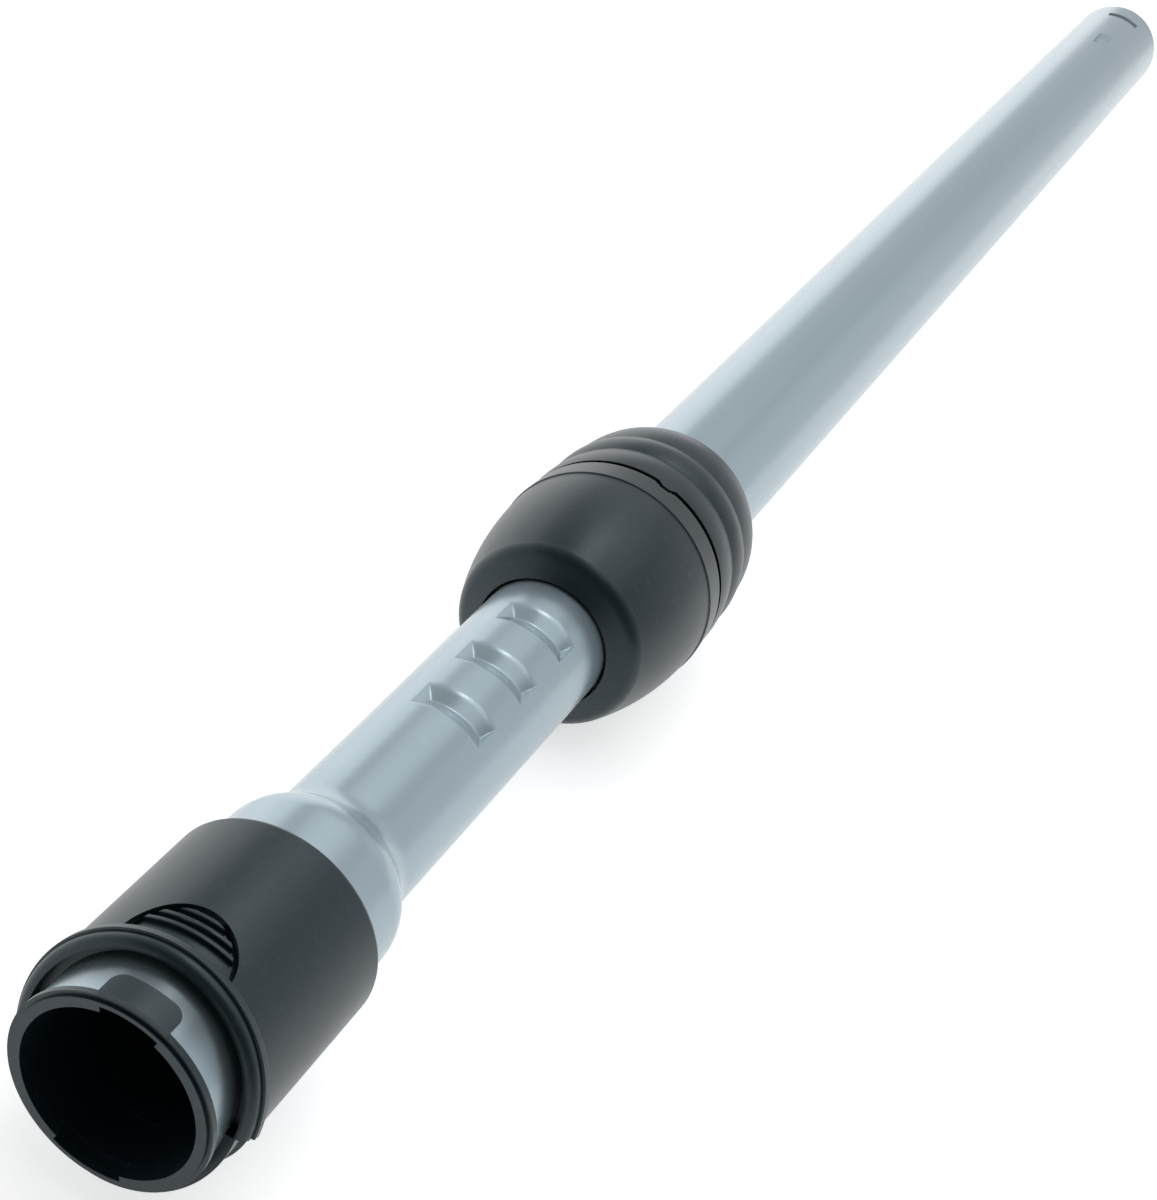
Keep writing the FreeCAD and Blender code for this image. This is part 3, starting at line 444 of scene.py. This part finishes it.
class WandTube(bpy.types.PropertyGroup):
    """Wall, shoulder and pressed notches of the upper tube."""

    wall: bpy.props.FloatProperty(
        name="Tube wall", description="Thickness of the sheet", unit="LENGTH", default=0.0007)
    flare_radius: bpy.props.FloatProperty(
        name="Flare radius", description="Outside of the flared socket", unit="LENGTH", default=0.0196)
    tube_radius: bpy.props.FloatProperty(
        name="Tube radius", description="Outside of the straight tube", unit="LENGTH", default=0.01525)
    shoulder_start: bpy.props.FloatProperty(
        name="Shoulder start", description="End of the straight flare", unit="LENGTH", default=0.0635)
    shoulder_length: bpy.props.FloatProperty(
        name="Shoulder length", description="Length of the ogee shoulder", unit="LENGTH", default=0.014)
    stem_place: bpy.props.FloatProperty(
        name="Stem place", description="Centre of the hole for the button's stem", unit="LENGTH",
        default=0.0204)
    stem_room: bpy.props.FloatProperty(
        name="Stem room", description="Half the hole for the button's stem", unit="LENGTH", default=0.0034)
    notch_count: bpy.props.IntProperty(
        name="Notches", description="Stops of the telescope", min=1, default=18)
    first_notch: bpy.props.FloatProperty(
        name="First notch", description="Valley of the first notch", unit="LENGTH", default=0.1159)
    notch_pitch: bpy.props.FloatProperty(
        name="Notch pitch", description="From one notch to the next", unit="LENGTH", default=0.01945)
    near_reach: bpy.props.FloatProperty(
        name="Near ramp", description="Length of the ramp on the socket side", unit="LENGTH",
        default=0.00435)
    far_reach: bpy.props.FloatProperty(
        name="Far ramp", description="Length of the ramp on the nozzle side", unit="LENGTH", default=0.0039)
    near_slope: bpy.props.FloatProperty(
        name="Near slope", description="Fall of the near ramp", default=0.42)
    far_slope: bpy.props.FloatProperty(
        name="Far slope", description="Fall of the far ramp", default=0.45)
    near_edge: bpy.props.FloatProperty(
        name="Near edge", description="Rounding of the near edge", unit="LENGTH", default=0.00010)
    far_edge: bpy.props.FloatProperty(
        name="Far edge", description="Rounding of the far edge", unit="LENGTH", default=0.00040)
    left_end: bpy.props.FloatProperty(
        name="Left end", description="Where the notch starts, from the top", subtype="ANGLE",
        default=math.radians(-27.0))
    right_end: bpy.props.FloatProperty(
        name="Right end", description="Where the notch ends, from the top", subtype="ANGLE",
        default=math.radians(39.5))
    left_slope: bpy.props.FloatProperty(
        name="Left slope", description="Fall of the left end", default=0.75)
    right_slope: bpy.props.FloatProperty(
        name="Right slope", description="Fall of the right end", default=2.5)
    end_edge: bpy.props.FloatProperty(
        name="End edges", description="Rounding of both ends", unit="LENGTH", default=0.00025)
    sharpness: bpy.props.FloatProperty(
        name="Crease sharpness", description="How tightly the ramps meet", min=2.0, default=14.0)


class WandStudio(bpy.types.PropertyGroup):
    """Floor and surroundings."""

    floor_size: bpy.props.FloatProperty(
        name="Floor size", description="Side of the floor", unit="LENGTH", default=8.0)
    floor_colour: bpy.props.FloatVectorProperty(
        name="Floor", description="Colour of the floor", subtype="COLOR", min=0.0, max=1.0,
        default=(0.92, 0.92, 0.92))
    sky: bpy.props.FloatVectorProperty(
        name="Surroundings", description="Light from all round", subtype="COLOR", min=0.0, max=1.0,
        default=(0.68, 0.69, 0.70))
    front_sky: bpy.props.FloatVectorProperty(
        name="Dark front", description="Light from the side of the socket", subtype="COLOR",
        min=0.0, max=1.0, default=(0.10, 0.105, 0.11))
    floor_glow: bpy.props.FloatProperty(
        name="Floor glow", description="White added where the floor is seen", subtype="FACTOR",
        min=0.0, max=1.0, default=0.6)


class WAND_OT_model_finish(bpy.types.Operator):
    """Gives every node of the model its finish"""

    bl_idname = "wand.model_finish"
    bl_label = "Model finishes"

    def execute(self, context):
        for name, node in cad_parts.items():
            dress(node, finish_material(context, NODE_FINISHES[name]))
        return {"FINISHED"}


class WAND_OT_upper_tube(bpy.types.Operator):
    """Presses the upper tube with its soft notches, in place of the plain node"""

    bl_idname = "wand.upper_tube"
    bl_label = "Upper tube"

    # Rings across one notch, from its valley, close together where the sheet bends
    NOTCH_RINGS_MM = (
        -5.0, -4.6, -4.48, -4.36, -4.24, -4.12, -3.9, -3.2, -2.3, -1.4, -0.8, -0.5, -0.34, -0.22,
        -0.13, -0.04, 0.05, 0.14, 0.26, 0.42, 0.7, 1.2, 1.9, 2.5, 2.8, 3.1, 3.4, 3.7, 4.0, 4.3, 4.6, 5.0)
    # Columns round the tube in degrees, close together at the ends of the notches
    COLUMN_STOPS = ((-30.0, 0.65), (-17.0, 2.0), (35.0, 0.4), (42.6, 6.8), (330.0, 6.8))
    # A ring between the stem's hole and the shoulder, and the distance of the shoulder's rings
    FLARE_RING = 0.04
    SHOULDER_STEP = 0.0005
    # Where the button's stem stands, from the top
    STEM_TURN = math.radians(-6.0)
    CRISP_ANGLE = 40.0

    def execute(self, context):
        tube = context.scene.wand_tube
        low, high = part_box("inner_tube")
        columns = [math.radians(angle) for angle in spread(self.COLUMN_STOPS)[:-1]]
        outside = self.places(tube, low[0], high[0], every=1)
        inside = self.places(tube, low[0], high[0], every=2)
        rings = [[around(x, self.radius(tube, x, angle), angle) for angle in columns] for x in outside]
        rings += [[around(x, self.radius(tube, x, angle) - tube.wall, angle) for angle in columns]
                  for x in reversed(inside)]
        hole_columns = self.hole_columns(tube, columns)
        hole_rings = [(outside.index(x), len(outside) + len(inside) - 1 - inside.index(x))
                      for x in self.hole_places(tube)]
        mesh = self.closed_mesh(rings, hole_columns, hole_rings)
        soften(mesh, self.CRISP_ANGLE)
        skin = bpy.data.objects.new("upper_tube_pressed", mesh)
        context.scene.collection.objects.link(skin)
        dress(skin, finish_material(context, "tube lacquer"))
        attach(skin, "upper_tube")
        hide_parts("inner_tube")
        return {"FINISHED"}

    def hole_places(self, tube):
        return [tube.stem_place - tube.stem_room, tube.stem_place + tube.stem_room]

    def hole_columns(self, tube, columns):
        """First and last column of the hole under the button."""
        room = math.asin(tube.stem_room / tube.flare_radius)
        first = max(index for index, angle in enumerate(columns) if angle <= self.STEM_TURN - room)
        last = min(index for index, angle in enumerate(columns) if angle >= self.STEM_TURN + room)
        return first, last

    def places(self, tube, front, tail, every):
        """Where the rings sit along the tube, with every first or second ring of the notches."""
        shoulder_end = tube.shoulder_start + tube.shoulder_length
        rings = [front, *self.hole_places(tube), self.FLARE_RING]
        rings += spread(((tube.shoulder_start, self.SHOULDER_STEP), (shoulder_end, self.SHOULDER_STEP)))
        for index in range(tube.notch_count):
            valley = tube.first_notch + tube.notch_pitch * index
            rings += [valley + offset * MM for offset in self.NOTCH_RINGS_MM[::every]]
        return rings + [tail]

    def radius(self, tube, x, angle):
        """Outside radius of the tube, with the shoulder's two arcs and the pressed notches."""
        fall = tube.flare_radius - tube.tube_radius
        run = tube.shoulder_length
        bend = (run * run + fall * fall) / (4.0 * fall)
        along = x - tube.shoulder_start
        if along <= 0.0:
            return tube.flare_radius
        if along <= run / 2:
            return tube.flare_radius - bend + math.sqrt(bend * bend - along * along)
        if along < run:
            return tube.tube_radius + bend - math.sqrt(bend * bend - (run - along) ** 2)
        return tube.tube_radius - self.notch_depth(tube, x, angle)

    def notch_depth(self, tube, x, angle):
        """Depth of the nearest notch: the least of its two ramps and its two ends."""
        nearest = round((x - tube.first_notch) / tube.notch_pitch)
        nearest = min(max(nearest, 0), tube.notch_count - 1)
        along = x - tube.first_notch - nearest * tube.notch_pitch
        return least((
            eased((along + tube.near_reach) * tube.near_slope, tube.near_edge),
            eased((tube.far_reach - along) * tube.far_slope, tube.far_edge),
            eased((angle - tube.left_end) * tube.tube_radius * tube.left_slope, tube.end_edge),
            eased((tube.right_end - angle) * tube.tube_radius * tube.right_slope, tube.end_edge),
        ), tube.sharpness)

    def closed_mesh(self, rings, hole_columns, hole_rings):
        """Joins the rings into one closed wall, outside and inside, with the hole cut through both."""
        mesh = bpy.data.meshes.new("upper_tube_pressed")
        form = bmesh.new()
        verts = [[form.verts.new(point) for point in ring] for ring in rings]
        first, last = hole_columns
        (out_front, in_front), (out_back, in_back) = hole_rings
        width = len(verts[0])
        for row, ring in enumerate(verts):
            after = verts[(row + 1) % len(verts)]
            cut = out_front <= row < out_back or in_back <= row < in_front
            for column in range(width):
                if cut and first <= column < last:
                    continue
                beside = (column + 1) % width
                form.faces.new((ring[column], ring[beside], after[beside], after[column]))
        for outer, inner in hole_rings:
            for column in range(first, last):
                form.faces.new((verts[outer][column], verts[outer][column + 1],
                                verts[inner][column + 1], verts[inner][column]))
        for column in hole_columns:
            form.faces.new((verts[out_front][column], verts[out_back][column],
                            verts[in_back][column], verts[in_front][column]))
        bmesh.ops.recalc_face_normals(form, faces=form.faces)
        form.to_mesh(mesh)
        form.free()
        return mesh


class WAND_OT_springs(bpy.types.Operator):
    """Puts copies of the springs, held by the bodies that carry them, in place of the model's nodes"""

    bl_idname = "wand.springs"
    bl_label = "Springs"

    # Node, body that holds it, joint that squeezes it, way of that joint, how far the free end goes in
    SPRINGS = (
        ("collar_spring", "lower_tube", "collar_release", (-1.0, 0.0, 0.0), 0.007),
        ("button_spring", "upper_tube", "button_press", (0.0, -0.104528, -0.994522), 0.0012),
    )

    def execute(self, context):
        for node, holder, joint, way, push in self.SPRINGS:
            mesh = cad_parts[node].data.copy()
            spring = bpy.data.objects.new(f"{node}_squeezed", mesh)
            context.scene.collection.objects.link(spring)
            dress(spring, finish_material(context, "spring steel"))
            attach(spring, holder)
            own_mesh(spring)
            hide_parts(node)
        return {"FINISHED"}


class WAND_OT_studio(bpy.types.Operator):
    """Adds the floor, the lamps, the surroundings and the camera"""

    bl_idname = "wand.studio"
    bl_label = "Studio"

    # Name, place, point it faces, width and height, watts
    LAMPS = (
        ("left_wall", (1.6, 0.40, 0.135), (1.6, 0.0, 0.135), (4.4, 0.31), 3.3),
        ("right_wall", (1.0, -1.2, 0.5), (0.4, 0.0, 0.1), (3.0, 1.0), 1.8),
        ("overhead_softbox", (0.5, -0.3, 1.4), (0.3, 0.0, 0.0), (1.2, 1.2), 3.6),
        ("forward_softbox", (1.00, 0.15, 1.00), (0.07, 0.0, 0.0), (0.80, 0.80), 0.75),
        ("collar_softbox", (0.57, 0.12, 0.91), (0.18, 0.0, 0.02), (0.26, 0.26), 0.62),
    )
    # Where the surroundings turn from dark to light, along the wand
    SKY_TURN = (-0.5, 0.5)

    def execute(self, context):
        studio = context.scene.wand_studio
        self.add_floor(context, studio)
        self.add_lamps(context)
        self.add_sky(context, studio)
        self.add_camera(context)
        return {"FINISHED"}

    def add_floor(self, context, studio):
        half = studio.floor_size / 2
        ground = CAD_BOX[0][2]
        mesh = bpy.data.meshes.new("studio_floor")
        corners = [(x * half, y * half, ground) for x, y in ((-1, -1), (1, -1), (1, 1), (-1, 1))]
        mesh.from_pydata(corners, [], [(0, 1, 2, 3)])
        floor = bpy.data.objects.new("studio_floor", mesh)
        context.scene.collection.objects.link(floor)
        finish = Finish("studio floor")
        seen = finish.node("ShaderNodeLightPath", output="Is Camera Ray")
        mirrored = finish.node("ShaderNodeLightPath", output="Is Glossy Ray")
        through = finish.node("ShaderNodeLightPath", output="Is Transmission Ray")
        matt = finish.node("ShaderNodeBsdfDiffuse", {}, {"Color": rgba(studio.floor_colour)})
        glow = finish.node("ShaderNodeEmission", {}, {
            "Color": rgba(WHITE),
            "Strength": studio.floor_glow * (seen + mirrored + through).clamped()})
        both = finish.node("ShaderNodeAddShader", {}, [matt, glow])
        finish.node("ShaderNodeOutputMaterial", {}, {"Surface": both})
        dress(floor, finish.owner)

    def add_lamps(self, context):
        for name, place, aim, size, watts in self.LAMPS:
            data = bpy.data.lights.new(name, "AREA")
            data.shape = "RECTANGLE"
            data.size, data.size_y = size
            data.energy = watts
            lamp = bpy.data.objects.new(name, data)
            lamp.location = place
            lamp.rotation_euler = (Vector(aim) - Vector(place)).to_track_quat("-Z", "Y").to_euler()
            context.scene.collection.objects.link(lamp)

    def add_sky(self, context, studio):
        world = bpy.data.worlds.new("studio surroundings")
        finish = Finish(world.name, world)
        along = finish.part(finish.node("ShaderNodeTexCoord", output="Generated"), "X")
        light = finish.ramp(along, *self.SKY_TURN)
        colour = finish.mix(light, rgba(studio.front_sky), rgba(studio.sky))
        glow = finish.node("ShaderNodeBackground", {}, {"Color": colour, "Strength": 1.0})
        finish.node("ShaderNodeOutputWorld", {}, {"Surface": glow})
        context.scene.world = world

    def add_camera(self, context):
        data = bpy.data.cameras.new("photo_camera")
        data.sensor_fit = "VERTICAL"
        data.sensor_height = SENSOR_HEIGHT_MM
        data.lens = FOCAL_PX / IMAGE_HEIGHT_PX * SENSOR_HEIGHT_MM
        data.clip_start = NEAREST_SEEN
        camera = bpy.data.objects.new("photo_camera", data)
        turn = Matrix((CAMERA_RIGHT, CAMERA_UP, CAMERA_BACK)).transposed().to_4x4()
        camera.matrix_world = Matrix.Translation(CAMERA_PLACE) @ turn
        context.scene.collection.objects.link(camera)
        context.scene.camera = camera
        context.scene.view_settings.view_transform = "Standard"


STEPS = [WAND_OT_model_finish, WAND_OT_upper_tube, WAND_OT_springs, WAND_OT_studio]


class WAND_PT_sidebar(bpy.types.Panel):
    """Lists the sizes, colours and steps of the wand"""

    bl_idname = "WAND_PT_sidebar"
    bl_label = "Vacuum wand"
    bl_space_type = "VIEW_3D"
    bl_region_type = "UI"
    bl_category = "Wand"

    def draw(self, context):
        layout = self.layout
        for group in (context.scene.wand_finish, context.scene.wand_tube, context.scene.wand_studio):
            for name in group.bl_rna.properties.keys():
                if name not in ("rna_type", "name"):
                    layout.prop(group, name)
        for step in STEPS:
            layout.operator(step.bl_idname)


CLASSES = [WandFinish, WandTube, WandStudio, *STEPS, WAND_PT_sidebar]


def register():
    for cls in CLASSES:
        bpy.utils.register_class(cls)
    bpy.types.Scene.wand_finish = bpy.props.PointerProperty(type=WandFinish)
    bpy.types.Scene.wand_tube = bpy.props.PointerProperty(type=WandTube)
    bpy.types.Scene.wand_studio = bpy.props.PointerProperty(type=WandStudio)


def unregister():
    del bpy.types.Scene.wand_studio
    del bpy.types.Scene.wand_tube
    del bpy.types.Scene.wand_finish
    for cls in reversed(CLASSES):
        bpy.utils.unregister_class(cls)


def main():
    register()
    bpy.ops.wand.model_finish()
    bpy.ops.wand.upper_tube()
    bpy.ops.wand.springs()
    bpy.ops.wand.studio()


if __name__ == "__main__":
    main()
